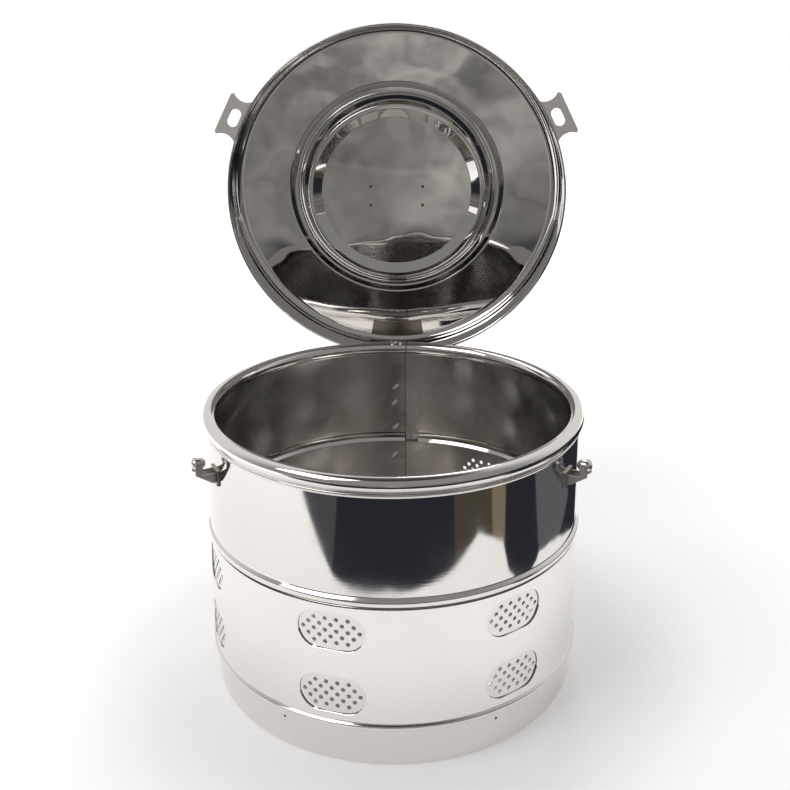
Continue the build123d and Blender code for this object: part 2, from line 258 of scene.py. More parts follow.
def lathe(profile, segments=288):
    """Turn a closed (radius, height) profile, listed anticlockwise, round +Z."""
    verts, faces = [], []
    count = len(profile)
    for j in range(segments):
        a = 2 * pi * j / segments
        verts += [(r * cos(a), r * sin(a), z) for r, z in profile]
    for j in range(segments):
        k = (j + 1) % segments
        for i in range(count):
            n = (i + 1) % count
            # A point on the axis is shared by all the triangles that meet there.
            turns = (profile[i][0] > 1e-6, profile[n][0] > 1e-6)
            if turns == (True, True):
                faces.append([j * count + i, k * count + i, k * count + n, j * count + n])
            elif turns[1]:
                faces.append([i, k * count + n, j * count + n])
            elif turns[0]:
                faces.append([j * count + i, k * count + i, n])
    return verts, faces


def part_turn(profile, first, last, steps=8):
    """Sweep a closed (radius, height) profile, listed anticlockwise, from one bearing to another."""
    verts, faces = [], []
    count = len(profile)
    for j in range(steps + 1):
        a = radians(first + (last - first) * j / steps - 90)
        verts += [(r * cos(a), r * sin(a), z) for r, z in profile]
    for j in range(steps):
        for i in range(count):
            n = (i + 1) % count
            faces.append([j * count + i, (j + 1) * count + i, (j + 1) * count + n, j * count + n])
    faces.append(list(range(count)))
    faces.append([steps * count + i for i in reversed(range(count))])
    return verts, faces


def along(axis, centre):
    """A matrix that turns +Z to an axis and moves the origin to a centre."""
    turn = Vector(axis).to_track_quat("Z", "Y").to_matrix().to_4x4()
    return Matrix.Translation(Vector(centre)) @ turn


def on_wall(bearing, radius, z):
    """A matrix that turns +Z outwards at a place on the drum's wall."""
    b = radians(bearing)
    axis = Vector((sin(b), -cos(b), 0))
    return along(axis, axis * radius + Vector((0, 0, z)))


def joined(parts):
    """Several (verts, faces, matrix) as one mesh."""
    verts, faces = [], []
    for part_verts, part_faces, matrix in parts:
        base = len(verts)
        verts += [tuple(matrix @ Vector(v)) for v in part_verts]
        faces += [[base + i for i in face] for face in part_faces]
    return verts, faces


def domes(places, radius, height, segments=20):
    """Low domed heads, one at each matrix, with their feet sunk in what they stand on."""
    sunk = -0.3
    sphere = (radius ** 2 + height ** 2) / (2 * height)
    spread = degrees(asin(radius / sphere))
    cap = arc((0, height - sphere), sphere, 90 - spread, 90, 5)
    profile = [(0, sunk), (radius, sunk), *cap[:-1], (0, height)]
    return joined([(*lathe(profile, segments), place) for place in places])


def circle(x, y, radius, steps):
    """A closed round outline."""
    turns = [2 * pi * i / steps for i in range(steps)]
    return [(x + radius * cos(t), y + radius * sin(t)) for t in turns]


def obround(width, height, steps=14):
    """A closed slot outline with round ends."""
    end = (width - height) / 2
    return arc((end, 0), height / 2, -90, 90, steps) + arc((-end, 0), height / 2, 90, 270, steps)


def inside(point, outline):
    """Even-odd test of a point in a closed outline."""
    x, y = point
    hit = False
    for (x0, y0), (x1, y1) in zip(outline, outline[1:] + outline[:1]):
        if (y0 > y) != (y1 > y) and x < x0 + (y - y0) * (x1 - x0) / (y1 - y0):
            hit = not hit
    return hit


def pierced_cell(width, height, columns, rows, holes):
    """Triangles of a flat rectangle less its holes. The border has evenly spaced points."""
    across = [width * (i / columns - 0.5) for i in range(columns + 1)]
    up = [height * (i / rows - 0.5) for i in range(rows + 1)]
    border = [(x, up[0]) for x in across] + [(across[-1], y) for y in up[1:]]
    border += [(x, up[-1]) for x in across[-2::-1]] + [(across[0], y) for y in up[-2:0:-1]]
    points, loops = list(border), [list(range(len(border)))]
    for hole in holes:
        loops.append(list(range(len(points), len(points) + len(hole))))
        points += hole
    edges = [(loop[i - 1], loop[i]) for loop in loops for i in range(len(loop))]
    flat, _, faces, *_ = delaunay_2d_cdt([Vector(p) for p in points], edges, [], 0, 1e-5)
    flat = [tuple(v) for v in flat]
    kept = []
    for face in faces:
        middle = [sum(flat[i][k] for i in face) / len(face) for k in (0, 1)]
        if not any(inside(middle, hole) for hole in holes):
            kept.append(list(face))
    return flat, kept


def pierced_ring(outer, thickness, low, high, cell, cells, holes, columns=360, edge=0.0):
    """A cylindrical sheet with the same holes in each of its cells.

    cell is a cell's width in columns and its height; cells are its centres as (bearing, height).
    With an edge, the rim of each hole is rounded over by that much on the outside.
    """
    step = 360 / columns
    wide, tall = cell
    arc_mm = radians(step) * outer
    # A facet of the border is about one and a half times as tall as it is wide.
    rows = max(2, round(tall / arc_mm / 1.5))
    inner = outer - thickness
    mesh = bmesh.new()

    def vert(radius, bearing, z):
        """A new vertex on the ring."""
        a = radians(bearing - 90)
        return mesh.verts.new((radius * cos(a), radius * sin(a), z))

    def wrap(radius, points, bearing, z):
        """Flat points of a cell, bent round the ring."""
        return [vert(radius, bearing + degrees(x / outer), z + y) for x, y in points]

    def widen(x, y):
        """A point of a hole, moved away from the cell's centre by the edge."""
        grown = 1 + edge / max(sqrt(x * x + y * y), 1e-6)
        return x * grown, y * grown

    # The cells: their faces outside and inside, and the walls of their holes.
    widened = [[widen(x, y) for x, y in hole] for hole in holes]
    for bearing, z in cells:
        for radius, cut, flip in ((outer, widened, False), (inner, holes, True)):
            flat, faces = pierced_cell(wide * arc_mm, tall, wide, rows, cut)
            made = wrap(radius, flat, bearing, z)
            for face in faces:
                mesh.faces.new([made[i] for i in (face[::-1] if flip else face)])
        for hole, rim in zip(holes, widened):
            rings = [wrap(outer, rim, bearing, z)]
            if edge:
                rings.append(wrap(outer - edge, hole, bearing, z))
            rings.append(wrap(inner, hole, bearing, z))
            for first, second in zip(rings, rings[1:]):
                for i in range(len(hole)):
                    mesh.faces.new([first[i - 1], first[i], second[i], second[i - 1]])
    # Plain facets fill the sheet between the cells, with rows that meet theirs, and close its two ends.
    start = cells[0][0] % step
    heights = {low, high}
    for _, z in cells:
        heights |= {z - tall / 2 + tall * i / rows for i in range(rows + 1)}
    heights = sorted(heights)
    taken = [(bearing % 360, z) for bearing, z in cells]
    for j in range(columns):
        left = start + step * j
        for z0, z1 in zip(heights, heights[1:]):
            if z1 - z0 < 1e-6:
                continue
            middle, height = left + step / 2, (z0 + z1) / 2
            if any(abs((middle - b + 180) % 360 - 180) < wide * step / 2 and abs(height - z) < tall / 2
                   for b, z in taken):
                continue
            for radius, flip in ((outer, False), (inner, True)):
                quad = [vert(radius, left, z0), vert(radius, left + step, z0),
                        vert(radius, left + step, z1), vert(radius, left, z1)]
                mesh.faces.new(quad[::-1] if flip else quad)
        for z, flip in ((low, False), (high, True)):
            quad = [vert(inner, left, z), vert(inner, left + step, z),
                    vert(outer, left + step, z), vert(outer, left, z)]
            mesh.faces.new(quad[::-1] if flip else quad)
    weld_mm = 0.002
    bmesh.ops.remove_doubles(mesh, verts=mesh.verts, dist=weld_mm)
    mesh.verts.index_update()
    verts = [tuple(v.co) for v in mesh.verts]
    faces = [[v.index for v in face.verts] for face in mesh.faces]
    mesh.free()
    return verts, faces


def true_normals(piece, radii):
    """Shade a cylindrical sheet by the cylinder's own normals, so that its triangles never show."""
    mesh = piece.data
    close = 0.02 * MM
    normals = []
    for polygon in mesh.polygons:
        out = Vector((polygon.center.x, polygon.center.y, 0)).normalized()
        facing = polygon.normal.dot(out)
        for index in polygon.vertices:
            co = mesh.vertices[index].co
            on = any(abs(Vector((co.x, co.y)).length - r * MM) < close for r in radii)
            if on and abs(facing) > 0.95:
                normals.append(Vector((co.x, co.y, 0)).normalized() * (1 if facing > 0 else -1))
            else:
                normals.append(polygon.normal.copy())
    mesh.normals_split_custom_set(normals)


def swept_rod(path, radius, sides=20):
    """A round rod along a closed flat path in the XY plane. Its faces look into the rod."""
    verts, faces = [], []
    count = len(path)
    for i in range(count):
        ahead = Vector((*path[(i + 1) % count], 0)) - Vector((*path[i - 1], 0))
        side = Vector((ahead.y, -ahead.x, 0)).normalized()
        for k in range(sides):
            a = 2 * pi * k / sides
            v = Vector((*path[i], 0)) + side * (radius * cos(a)) + Vector((0, 0, radius * sin(a)))
            verts.append(tuple(v))
    for i in range(count):
        j = (i + 1) % count
        for k in range(sides):
            m = (k + 1) % sides
            faces.append([i * sides + k, i * sides + m, j * sides + m, j * sides + k])
    return verts, faces


def duller_inside(piece):
    """The faces that look towards the drum's axis, below the roll, were buffed less than the outside."""
    piece.data.materials.append(steel("inside"))
    for face in piece.data.polygons:
        out = Vector((face.center.x, face.center.y, 0))
        within = out.length < (WALL_R - SHEET / 2) * MM and face.center.z < ROLL_FOOT * MM
        if within and face.normal.dot(out) < 0:
            face.material_index = 1


def keep_node(name, finish, bevel):
    """A CAD node whose shape is right gets softened edges and a finish of its own."""
    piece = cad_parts[name]
    piece.data.materials.clear()
    piece.data.materials.append(steel(finish))
    soft = piece.modifiers.new("soft edges", "BEVEL")
    soft.width = bevel * MM
    soft.segments = 2
    soft.limit_method = "ANGLE"
    soft.angle_limit = radians(35)
    soft.harden_normals = True


# ---- Settings ----
class DrumSettings(bpy.types.PropertyGroup):
    """What a user would change."""
    bead_proud: bpy.props.FloatProperty(
        name="Bead", description="How far the beads stand out of the wall", default=2.2 * MM, unit="LENGTH")
    hole: bpy.props.FloatProperty(
        name="Vent hole", description="Diameter of the punched holes", default=3.2 * MM, unit="LENGTH")
    rod: bpy.props.FloatProperty(
        name="Handle rod", description="Diameter of the handle's rod", default=6.0 * MM, unit="LENGTH")
    backdrop: bpy.props.FloatVectorProperty(
        name="Floor", description="Colour of the floor", subtype="COLOR", size=3, default=(0.86, 0.86, 0.86))


# ---- Drum ----
def bead_outline(low, high, proud):
    """A rolled bead from outside, listed upwards: a round crest with a tight hollow at each foot."""
    middle = (low + high) / 2
    crest = (high - low) * 0.22
    return [(WALL_R, low - 0.4, 0.5), (WALL_R + 0.15, low + 0.3, 0.5),
            (WALL_R + proud, middle - crest, 1.6), (WALL_R + proud, middle + crest, 1.6),
            (WALL_R + 0.15, high - 0.3, 0.5), (WALL_R, high + 0.4, 0.5)]


def bead_hollow(low, high, proud):
    """The same bead from inside, listed downwards, as the hollow that it is there."""
    return [(INSIDE_R, high + 0.8, 0.6), (INSIDE_R + proud, high - 2.0, 1.4),
            (INSIDE_R + proud, low + 2.0, 1.4), (INSIDE_R, low - 0.8, 0.6)]


def wall_sheet(proud):
    """The wall above and below the vented belt, with its beads and rolled rim."""
    neck_proud = 1.3
    pan_edge = 27.7
    low, high = BELT
    # Above the belt the sheet runs up the outside, round the roll, and down the inside again.
    upper = [(WALL_R, high, 0.3), *bead_outline(*MIDDLE_BEAD, proud)[1:],
             *bead_outline(*NECK_BEAD, neck_proud), (WALL_R, ROLL_FOOT + 0.2, 0)]
    roll = arc(ROLL, ROLL_R, -69, 245, 40)
    back = [(INSIDE_R, ROLL_FOOT + 0.6, 0), *bead_hollow(*MIDDLE_BEAD, proud)]
    above = rounded(upper, closed=False) + roll + rounded(back, closed=False)
    # Below the belt it ends in the lower bead, which grips the base pan.
    below = rounded([(INSIDE_R, low, 0), (INSIDE_R, pan_edge, 0), (WALL_R, pan_edge, 0.3),
                     *bead_outline(*LOWER_BEAD, proud)[1:-1], (WALL_R, low, 0)], closed=False)
    verts, faces = joined([(*lathe(above), SHUT), (*lathe(below), SHUT)])
    wall = new_object("wall_sheet", verts, faces, "drum", "polished_stainless", "wall", angle=40)
    duller_inside(wall)
    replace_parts(wall, "drum_shell")


def perforated_belt(hole):
    """The belt between the beads, with twelve vents of 24 punched holes of one diameter."""
    # The holes stand in five staggered rows, in a cell 22 columns wide and 30 mm high.
    across, up = 8.1, 4.35
    places = []
    for row, count in enumerate((4, 5, 6, 5, 4)):
        places += [((i - (count - 1) / 2) * across, (row - 2) * up) for i in range(count)]
    holes = [circle(x, y, hole / 2, steps=16) for x, y in places]
    made = pierced_ring(WALL_R, SHEET, *BELT, (22, 30.0), VENTS, holes)
    belt = new_object("perforated_belt", *made, "drum", "polished_stainless", "wall")
    true_normals(belt, (WALL_R, INSIDE_R))
    duller_inside(belt)
    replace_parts(belt, "vent_screens_lower", "vent_screens_upper")


def roll_marks():
    """The roll's ends meet at the back in a joint painted nearly black as shade, with spots of weld beside
    it.
    """
    groove = arc(ROLL, ROLL_R + 0.04, 20, 200, 20) + arc(ROLL, ROLL_R - 0.2, 200, 20, 20)
    new_object("roll_joint", *part_turn(groove, 176.1, 176.45, steps=1), "drum", "polished_stainless", "gap")
    # Weld spots, and pits at the front left, as (bearing, angle round the roll, radius).
    blobs = [(178.4, 118, 1.5), (179.5, 70, 1.3), (180.3, 98, 1.9), (181.4, 130, 1.4), (182.0, 85, 1.2)]
    pits = [(-43.2, 116, 0.8), (-42.5, 108, 0.9), (-41.8, 112, 0.8)]
    sunk = 0.08
    # The pits are painted nearly black as shade.
    for name, spots, height, finish in (("roll_weld_spots", blobs, 0.35, "fitting"),
                                        ("roll_pits", pits, 0.1, "gap")):
        placed = []
        for bearing, turn, size in spots:
            b, t = radians(bearing), radians(turn)
            axis = Vector((sin(b) * cos(t), -cos(b) * cos(t), sin(t)))
            foot = Vector((sin(b) * ROLL[0], -cos(b) * ROLL[0], ROLL[1])) + axis * (ROLL_R - sunk)
            placed.append((*domes([along(axis, foot)], size, height, segments=12), SHUT))
        new_object(name, *joined(placed), "drum", "polished_stainless", finish)


class DrumWall(bpy.types.Operator):
    """Wall sheet with its beads and rolled rim, and the perforated belt between the beads"""
    bl_idname = "drum.wall"
    bl_label = "Wall"

    def execute(self, context):
        wall_sheet(context.scene.drum.bead_proud / MM)
        perforated_belt(context.scene.drum.hole / MM)
        roll_marks()
        return {"FINISHED"}


def base_pan():
    """The pan stands inside the wall: a flat bottom, a rounded corner and an upright flange with pins."""
    top = 33.7
    within = INSIDE_R - SHEET
    profile = rounded([(0, 0, 0), (INSIDE_R, 0, 5.2), (INSIDE_R, top, 0), (within, top, 0),
                       (within, SHEET, 4.4), (0, SHEET, 0)], steps=8)
    base = new_object("base_pan_sheet", *lathe(profile), "drum", "polished_stainless", "wall")
    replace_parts(base, "base_pan")
    pin_z = 23.6
    pins = [on_wall(side * b, INSIDE_R, pin_z) for side in (-1, 1) for b in (32, 92, 152)]
    new_object("base_pin_heads", *domes(pins, 1.1, 0.45), "drum", "fitting_steel", "weld")


def lapped_seam(proud):
    """The wall sheet's lap inside, with its spot welds and painted shade along its edge."""
    keep_node("seam_strip", "inside", bevel=0.15)
    # A dark line of painted shade lies along the edge and follows the wall through the bead.
    line = rounded([(INSIDE_R, 204.0, 0), *bead_hollow(*MIDDLE_BEAD, proud), (INSIDE_R, 35.0, 0)],
                   closed=False)
    shade_depth = 0.3
    edge = [(r - shade_depth, z) for r, z in line] + line[::-1]
    new_object("lap_edge_shade", *part_turn(edge, 176.65, 176.95, steps=1), "drum", "polished_stainless", "gap")
    # Beside it is an uneven row of spot welds, each a splash of marks: (bearing, height, radius).
    row, wander = 180.3, 0.3
    heights = (62, 84, 108.4, 135.6, 158.4, 173.5)
    bright = ((0, 0, 1.9), (0.8, -1.7, 1.3), (-0.6, 1.5, 1.1))
    dark = ((-0.7, -1.5, 0.9), (0.7, 1.2, 0.8))
    for name, splash, finish in (("spot_welds", bright, "fitting"), ("spot_weld_pits", dark, "weld")):
        marks = [(on_wall(row + wander * sin(z) + turn, INSIDE_R, z + up) @ OVER, size)
                 for z in heights for turn, up, size in splash]
        made = joined([(*domes([place], size, 0.3, segments=12), SHUT) for place, size in marks])
        new_object(name, *made, "drum", "polished_stainless", finish)


class DrumBase(bpy.types.Operator):
    """Base pan, its pins, and the lapped seam inside with its spot welds"""
    bl_idname = "drum.base"
    bl_label = "Base and seam"

    def execute(self, context):
        base_pan()
        lapped_seam(context.scene.drum.bead_proud / MM)
        return {"FINISHED"}


class DrumShutter(bpy.types.Operator):
    """Shutter band with its round-ended windows, its lapped joint and finger knob"""
    bl_idname = "drum.shutter"
    bl_label = "Shutter band"

    def execute(self, context):
        # The band has a cell at each vent, with one window, and ends a little short of the belt's ends.
        window = obround(48.5, 28.0)
        clear = 0.3
        made = pierced_ring(BAND_R, STRIP, BELT[0] + clear, BELT[1] - clear, (26, 36.0), VENTS, [window],
                            edge=0.2)
        band = new_object("shutter_strip", *made, "shutter", "band_stainless", "band")
        true_normals(band, (BAND_R, BAND_R - STRIP))
        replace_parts(band, "shutter_band")
        # Its ends meet under a riveted clasp, at this bearing.
        clasp = -169
        keep_node("band_clasp", "band", bevel=0.2)
        rivets = [on_wall(clasp + side * 1.9, BAND_R + STRIP, z)
                  for side in (-1, 1) for z in (43, 60.5, 78, 95.5, 112)]
        new_object("clasp_rivets", *domes(rivets, 1.8, 0.7), "shutter", "fitting_steel", "fitting")
        # The knob is turned from rod: a foot, a waist and a head, as (radius, height, fillet).
        knob = rounded([(0, 0, 0), (4.6, 0, 0), (4.6, 1.0, 0.4), (3.1, 1.8, 1.0),
                        (3.1, 5.0, 2.0), (5.2, 6.6, 0.8), (5.2, 9.6, 1.6), (0, 10.4, 0)])
        middle = sum(BELT) / 2
        made = joined([(*lathe(knob, segments=40), on_wall(-148, BAND_R, middle))])
        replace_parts(new_object("finger_knob", *made, "shutter", "fitting_steel", "rod"), "shutter_knob")
        return {"FINISHED"}


class DrumLatches(bpy.types.Operator):
    """Clevis brackets, pins and bullet-nosed toggles at both sides"""
    bl_idname = "drum.latches"
    bl_label = "Latches"

    def execute(self, context):
        # The pin crosses the toggle at this radius and height; nose and tail are measured from it, outwards.
        pin_r, pin_z = 153.1, 191.8
        nose, tail, half = 4.5, -6.3, 4.0
        bullet = arc((0, tail + half), half, -90, 0, 8) + arc((0, nose - half), half, 0, 90, 10)
        bullet = [(0.0, bullet[0][1]), *bullet[1:-1], (0.0, bullet[-1][1])]
        for side, bearing in (("left", -63.5), ("right", 63.5)):
            # The brackets' darker colour is painted shade.
            keep_node(f"latch_bracket_{side}", "clevis", bevel=0.3)
            keep_node(f"pivot_pin_{side}", "rod", bevel=0.2)
            made = joined([(*lathe(bullet, segments=36), on_wall(bearing, pin_r, pin_z))])
            toggle = new_object(f"bullet_{side}", *made, f"{side}_toggle", "fitting_steel", "rod")
            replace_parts(toggle, f"toggle_{side}")
        return {"FINISHED"}


# ---- Lid ----
class DrumLid(bpy.types.Operator):
    """Pressed lid with its hem, raised ring and sunk well, and the lugs on its hem"""
    bl_idname = "drum.lid"
    bl_label = "Lid"

    def execute(self, context):
        # The lid's section as (radius, height, fillet), from the middle of its underside round to the
        # middle of its top: well, groove, raised ring, flat and skirt, then the hem, then all of them back.
        groove, ring = 203.4, 221.4
        foot, hem_r = 185.4, 146.6
        thick, outer_r = LID_SHEET, LID_SKIRT + LID_SHEET
        under = [(0, LID_WELL, 0), (65.8, LID_WELL, 1.5), (73.6, groove, 1.6), (77.4, groove, 1.6),
                 (86.0, ring, 3.0), (91.0, ring, 3.0), (95.0, LID_FLAT, 2.5), (LID_SKIRT, LID_FLAT, LID_BEND),
                 (LID_SKIRT, foot + 1.0, 0.5)]
        hem = [(LID_SKIRT, foot + 0.5, 0.4), (outer_r, foot, 0.4), (hem_r - 0.6, foot, 0.6),
               (hem_r, foot + 0.6, 0.6), (hem_r, foot + 2.6, 0.8), (outer_r, foot + 4.4, 0.8)]
        over = [(outer_r, LID_FLAT + thick, LID_BEND + thick), (95.3, LID_FLAT + thick, 2.0),
                (91.3, ring + thick, 3.0), (85.7, ring + thick, 3.5), (77.0, groove + thick, 1.0),
                (74.0, groove + thick, 1.0), (66.0, LID_WELL + thick, 1.0), (0, LID_WELL + thick, 0)]
        verts, faces = lathe(rounded(under + hem + over, steps=7), segments=320)
        # Listed backwards: the faces look into the sheet, which also turns the ripples' highs into lows.
        faces = [face[::-1] for face in faces]
        lid = new_object("lid_sheet", verts, faces, "lid", "polished_stainless", "lid", OPEN, angle=50)
        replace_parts(lid, "lid_pan")
        for side in ("left", "right"):
            keep_node(f"lug_{side}", "fitting", bevel=0.3)
        # A darker, hazier patch on the inside of the flat ring at the hinge is painted reflection of the
        # drum's dark inside.
        proud = 0.1
        bend_r = LID_SKIRT - LID_BEND
        patch = [(125.0, LID_FLAT - proud), (bend_r, LID_FLAT - proud),
                 *arc((bend_r, LID_FLAT - LID_BEND), LID_BEND - proud, 84, 70, 3)]
        buried = [(r, z + 2 * proud) for r, z in patch[::-1]]
        verts, faces = part_turn(patch + buried, 170.0, 190.0)
        new_object("hinge_painted_reflection", verts, faces, "lid", "polished_stainless", "stain", OPEN)
        return {"FINISHED"}


class DrumHandle(bpy.types.Operator):
    """Carrying handle and the two riveted clips that hold it"""
    bl_idname = "drum.handle"
    bl_label = "Handle"

    def execute(self, context):
        radius = context.scene.drum.rod / MM / 2
        # A closed loop that lies flat on the lid, hinged along its side at this Y.
        axis_y, axis_z = 4.0, 211.2
        half, deep, bend = 43, 44, 12
        path = rounded([(-half, axis_y, bend), (half, axis_y, bend),
                        (half, axis_y + deep, bend), (-half, axis_y + deep, bend)], steps=12)
        made = joined([(*swept_rod(path, radius), Matrix.Translation((0, 0, axis_z)))])
        loop = new_object("handle_rod", *made, "handle", "handle_steel", "rod", OPEN)
        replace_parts(loop, "carrying_handle")
        for side in ("left", "right"):
            keep_node(f"handle_clip_{side}", "fitting", bevel=0.3)
        # Each clip has two rivets, with heads on the clip and tails inside the lid.
        clip = 1.2
        rivets = [(x, axis_y + dy) for x in (-23, 23) for dy in (-8.4, 8.4)]
        heads = [Matrix.Translation((*rivet, LID_WELL + LID_SHEET + clip)) for rivet in rivets]
        new_object("clip_rivet_heads", *domes(heads, 2.2, 1.0), "lid", "fitting_steel", "fitting", OPEN)
        tails = [Matrix.Translation((*rivet, LID_WELL)) @ OVER for rivet in rivets]
        new_object("clip_rivet_tails", *domes(tails, 1.5, 0.5), "lid", "fitting_steel", "weld", OPEN)
        return {"FINISHED"}


class DrumHinge(bpy.types.Operator):
    """Strap hinge at the back with its pin and rivets"""
    bl_idname = "drum.hinge"
    bl_label = "Hinge"

    def execute(self, context):
        for name in ("hinge_body_leaf", "hinge_lid_leaf"):
            keep_node(name, "fitting", bevel=0.3)
        keep_node("hinge_pin", "rod", bevel=0.3)
        # Rivets hold one leaf to the wall and the other to the lid's skirt, at the back.
        back, leaf = 180, 1.4
        low = [on_wall(back + b, WALL_R + leaf, z) for b in (-4, 4) for z in (138, 152)]
        new_object("hinge_rivets_drum", *domes(low, 2.3, 1.0), "drum", "fitting_steel", "fitting")
        high = [on_wall(back + b, LID_SKIRT + LID_SHEET + leaf, 203.0) for b in (-4, 4)]
        new_object("hinge_rivets_lid", *domes(high, 2.3, 1.0), "lid", "fitting_steel", "fitting", OPEN)
        return {"FINISHED"}


# ---- Stage ----
def stage_plane(name, outline, height, material):
    """A flat face of the set, which isn't part of the object."""
    mesh = bpy.data.meshes.new(name)
    mesh.from_pydata([(x, y, height) for x, y in outline], [], [list(range(len(outline)))])
    mesh.materials.append(material)
    plane = bpy.data.objects.new(name, mesh)
    bpy.context.scene.collection.objects.link(plane)
    return plane


def card_material(name, near, far=None, start=-0.72, end=-1.0):
    """A glowing card. With a second colour it fades to that between two Ys, patchy and darker aside."""
    material, tree = new_tree(name)
    colour = linear(near)
    if far:
        place = add(tree, "TexCoord").outputs["Object"]
        apart = add(tree, "SeparateXYZ", {0: place})
        fade = add(tree, "MapRange", {"Value": apart.outputs["Y"], "From Min": start, "From Max": end},
                   interpolation_type="SMOOTHSTEP")
        aside = add(tree, "Math", {0: apart.outputs["X"]}, operation="ABSOLUTE")
        corner = add(tree, "MapRange", {"Value": aside.outputs[0], "From Min": 0.06, "From Max": 0.32,
                                        "To Min": 1.08, "To Max": 0.5}, interpolation_type="SMOOTHSTEP")
        # The room's clutter, in patches about 0.2 m wide and 0.6 m deep.
        long = add(tree, "Mapping", {"Vector": place, "Scale": (5.0, 1.6, 1.0)})
        clutter = add(tree, "TexNoise", {"Vector": long.outputs[0], "Scale": 1.0, "Detail": 3.0})
        patchy = add(tree, "MapRange", {"Value": clutter.outputs["Fac"], "From Min": 0.3, "From Max": 0.7,
                                        "To Min": 0.35, "To Max": 1.6})
        level = add(tree, "Math", {0: patchy.outputs[0], 1: corner.outputs[0]}, operation="MULTIPLY")
        lit = add(tree, "VectorMath", {0: linear(far)[:3], "Scale": level.outputs[0]}, operation="SCALE")
        mixed = add(tree, "Mix", {0: fade.outputs[0], 6: colour, 7: lit.outputs[0]}, data_type="RGBA")
        colour = mixed.outputs[2]
    glow = add(tree, "Emission", {"Color": colour, "Strength": 1.0})
    add(tree, "OutputMaterial", {"Surface": glow.outputs[0]})
    return material


def card(name, outline, height, material):
    """A studio card: polished metal mirrors it, and nothing else sees it."""
    plane = stage_plane(name, outline, height, material)
    plane.visible_camera = False
    plane.visible_diffuse = False
    plane.visible_shadow = False
    plane.visible_transmission = False


def paper_material(colour):
    """Matt white background paper. A little glow, less beside the drum where the base mirrors it, keeps it
    white. Only the camera and polished metal see the glow, and the drum's shadow still falls on the paper."""
    material, tree = new_tree("white studio paper")
    path = add(tree, "LightPath")
    place = add(tree, "TexCoord").outputs["Object"]
    # The paper's tooth is really about 0.1 mm, drawn at 1.1 mm so that it shows.
    tooth = add(tree, "TexNoise", {"Vector": place, "Scale": 900.0, "Detail": 2.0})
    bump = add(tree, "Bump", {"Height": tooth.outputs["Fac"], "Strength": 0.3, "Distance": 0.05 * MM})
    matt = add(tree, "BsdfDiffuse", {"Color": (*colour, 1.0), "Normal": bump.outputs[0]})
    away = add(tree, "VectorMath", {0: place}, operation="LENGTH")
    near = add(tree, "MapRange", {"Value": away.outputs["Value"], "From Min": 0.16, "From Max": 0.27,
                                  "To Min": 0.26, "To Max": 0.44}, interpolation_type="SMOOTHSTEP")
    far = add(tree, "MapRange", {"Value": away.outputs["Value"], "From Min": 0.3, "From Max": 1.1,
                                 "To Min": 0.0, "To Max": 0.46}, interpolation_type="SMOOTHSTEP")
    lift = add(tree, "Math", {0: near.outputs[0], 1: far.outputs[0]}, operation="ADD")
    glow = add(tree, "Emission", {"Color": (1, 1, 1, 1), "Strength": lift.outputs[0]})
    clear = add(tree, "Emission", {"Color": (0, 0, 0, 1), "Strength": 0.0})
    seen = add(tree, "Math", {0: path.outputs["Is Camera Ray"], 1: path.outputs["Is Glossy Ray"]},
               operation="MAXIMUM")
    shown = add(tree, "MixShader", {0: seen.outputs[0], 1: clear.outputs[0], 2: glow.outputs[0]})
    both = add(tree, "AddShader", {0: matt.outputs[0], 1: shown.outputs[0]})
    add(tree, "OutputMaterial", {"Surface": both.outputs[0]})
    return material


def room_cards():
    """Cards for the room that the steel mirrors, in metres, just above the paper and on each other."""
    low, high = 0.0006, 0.0009
    # The paper seems to end in front and to the right; past it polished steel mirrors the dark room.
    room = [(-2.6, -1.3), (-0.392, -0.365), (-0.282, -0.358), (-0.18, -0.345), (-0.121, -0.356),
            (-0.008, -0.378), (0.109, -0.366), (0.208, -0.344), (0.26, -0.335), (0.317, -0.318),
            (0.353, -0.258), (0.36, -0.217), (0.32, -0.178), (0.314, -0.144), (0.328, -0.093),
            (0.345, -0.062), (0.367, -0.035), (0.36, 0.02), (0.345, 0.076), (0.303, 0.139),
            (0.232, 0.21), (0.30, 0.60), (5, 3), (5, -6), (-2.6, -6)]
    card("room_card", room, low, card_material("dark room card", "#2A2C33", "#A09E9A"))
    # Patches of other colours lie along its edge, where the wall mirrors them as upright stripes.
    tan_edge = [(0.345, -0.262), (0.361, -0.21), (0.56, -0.27), (0.54, -0.38)]
    card("tan_card", tan_edge, high, card_material("tan wall card", "#7F7562"))
    brown_edge = [(0.215, -0.345), (0.26, -0.338), (0.317, -0.322), (0.345, -0.262), (0.54, -0.38),
                  (0.36, -0.56)]
    card("brown_card", brown_edge, high, card_material("brown wall card", "#4A463C"))
    grey_edge = [(-0.392, -0.366), (-0.282, -0.359), (-0.19, -0.347), (-0.26, -0.52), (-0.46, -0.42)]
    card("grey_card", grey_edge, high, card_material("grey wall card", "#4B4C51"))
    right_edge = [(0.36, -0.045), (0.36, 0.02), (0.345, 0.076), (0.36, 0.20), (0.60, 0.18), (0.60, -0.06)]
    card("right_card", right_edge, high, card_material("pale wall card", "#606164"))
    back_edge = [(-0.5, 0.8), (0.5, 0.8), (1.4, 3.4), (-1.4, 3.4)]
    card("back_card", back_edge, high, card_material("back wall card", "#C9C5C0", "#8E8A85", 0.8, 1.5))


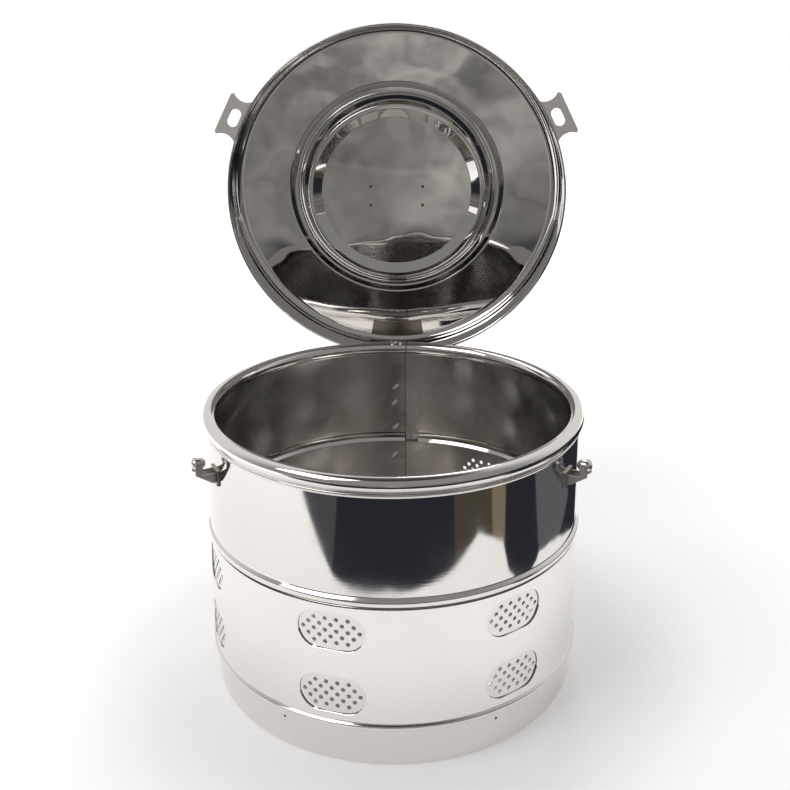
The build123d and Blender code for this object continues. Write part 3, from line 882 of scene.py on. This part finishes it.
def studio_world():
    """The camera sees a white world; metal mirrors one that is dim in front, paler behind, dark overhead."""
    world = bpy.data.worlds.new("studio")
    world.use_nodes = True
    tree = world.node_tree
    tree.nodes.clear()
    way = add(tree, "SeparateXYZ", {0: add(tree, "TexCoord").outputs["Generated"]})
    depth = add(tree, "MapRange", {"Value": way.outputs["Y"], "From Min": -0.35, "From Max": 0.5,
                                   "To Min": 0.28, "To Max": 0.8}, interpolation_type="SMOOTHSTEP")
    height = add(tree, "MapRange", {"Value": way.outputs["Z"], "From Min": 0.84, "From Max": 0.95,
                                    "To Min": 1.0, "To Max": 0.15}, interpolation_type="SMOOTHSTEP")
    level = add(tree, "Math", {0: depth.outputs[0], 1: height.outputs[0]}, operation="MULTIPLY")
    path = add(tree, "LightPath")
    room = add(tree, "Background", {"Color": (1.0, 0.99, 0.975, 1), "Strength": level.outputs[0]})
    white = add(tree, "Background", {"Color": (1, 1, 1, 1), "Strength": 1.0})
    mix = add(tree, "MixShader", {0: path.outputs["Is Camera Ray"], 1: room.outputs[0], 2: white.outputs[0]})
    add(tree, "OutputWorld", {"Surface": mix.outputs[0]})
    return world


def softbox(name, where, size, watts, aim):
    """A square area lamp of a size in metres, aimed at a point."""
    lamp = bpy.data.lights.new(name, "AREA")
    lamp.size = size
    lamp.energy = watts
    light = bpy.data.objects.new(name, lamp)
    bpy.context.scene.collection.objects.link(light)
    light.location = where
    light.rotation_euler = (Vector(aim) - Vector(where)).to_track_quat("-Z", "Y").to_euler()


def studio_camera():
    """A camera above the front that looks down on the drum."""
    lens = bpy.data.cameras.new("camera")
    lens.lens, lens.sensor_width = 50.31, 36.0
    lens.shift_x, lens.shift_y = 0.0039, -0.1511
    camera = bpy.data.objects.new("camera", lens)
    bpy.context.scene.collection.objects.link(camera)
    stand = Matrix.Translation((0.020, -0.7866, 0.5177))
    # It is swung and rolled by a little, in radians, and dips by this many degrees.
    swing, roll, dip = 0.0254, -0.0059, 14.67
    turn = Matrix.Rotation(swing, 4, "Z") @ Matrix.Rotation(radians(90 - dip), 4, "X")
    camera.matrix_world = stand @ turn @ Matrix.Rotation(roll, 4, "Z")
    return camera


class DrumStage(bpy.types.Operator):
    """Pale floor, studio cards, soft lamps, world and camera"""
    bl_idname = "drum.stage"
    bl_label = "Stage"

    def execute(self, context):
        scene = context.scene
        far = 6
        stage_plane("floor", [(-far, -far), (far, -far), (far, far), (-far, far)], 0.0,
                    paper_material(scene.drum.backdrop))
        room_cards()
        scene.world = studio_world()
        softbox("key_softbox", (-1.3, -0.9, 2.0), 1.3, 17.0, (0, 0, 0.2))
        softbox("back_softbox", (0.2, 1.5, 1.65), 0.4, 4.0, (0, 0, 0.1))
        scene.camera = studio_camera()
        scene.view_settings.view_transform = "Standard"
        return {"FINISHED"}


STEPS = (DrumStage, DrumWall, DrumBase, DrumShutter, DrumLatches, DrumLid, DrumHandle, DrumHinge)


class DrumPanel(bpy.types.Panel):
    """Lists the drum's sizes and the steps that build it"""
    bl_idname = "DRUM_PT_panel"
    bl_label = "Dressing Drum"
    bl_space_type = "VIEW_3D"
    bl_region_type = "UI"
    bl_category = "Drum"

    def draw(self, context):
        for name in DrumSettings.__annotations__:
            self.layout.prop(context.scene.drum, name)
        for step in STEPS:
            self.layout.operator(step.bl_idname)


CLASSES = (DrumSettings, *STEPS, DrumPanel)


def register():
    """Make the classes and the settings known to Blender."""
    for kind in CLASSES:
        bpy.utils.register_class(kind)
    bpy.types.Scene.drum = bpy.props.PointerProperty(type=DrumSettings)


def unregister():
    """Take them away again."""
    del bpy.types.Scene.drum
    for kind in reversed(CLASSES):
        bpy.utils.unregister_class(kind)


def main():
    """Run every step in order."""
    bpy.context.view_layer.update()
    register()
    for step in STEPS:
        group, name = step.bl_idname.split(".")
        getattr(getattr(bpy.ops, group), name)()


if __name__ == "__main__":
    main()
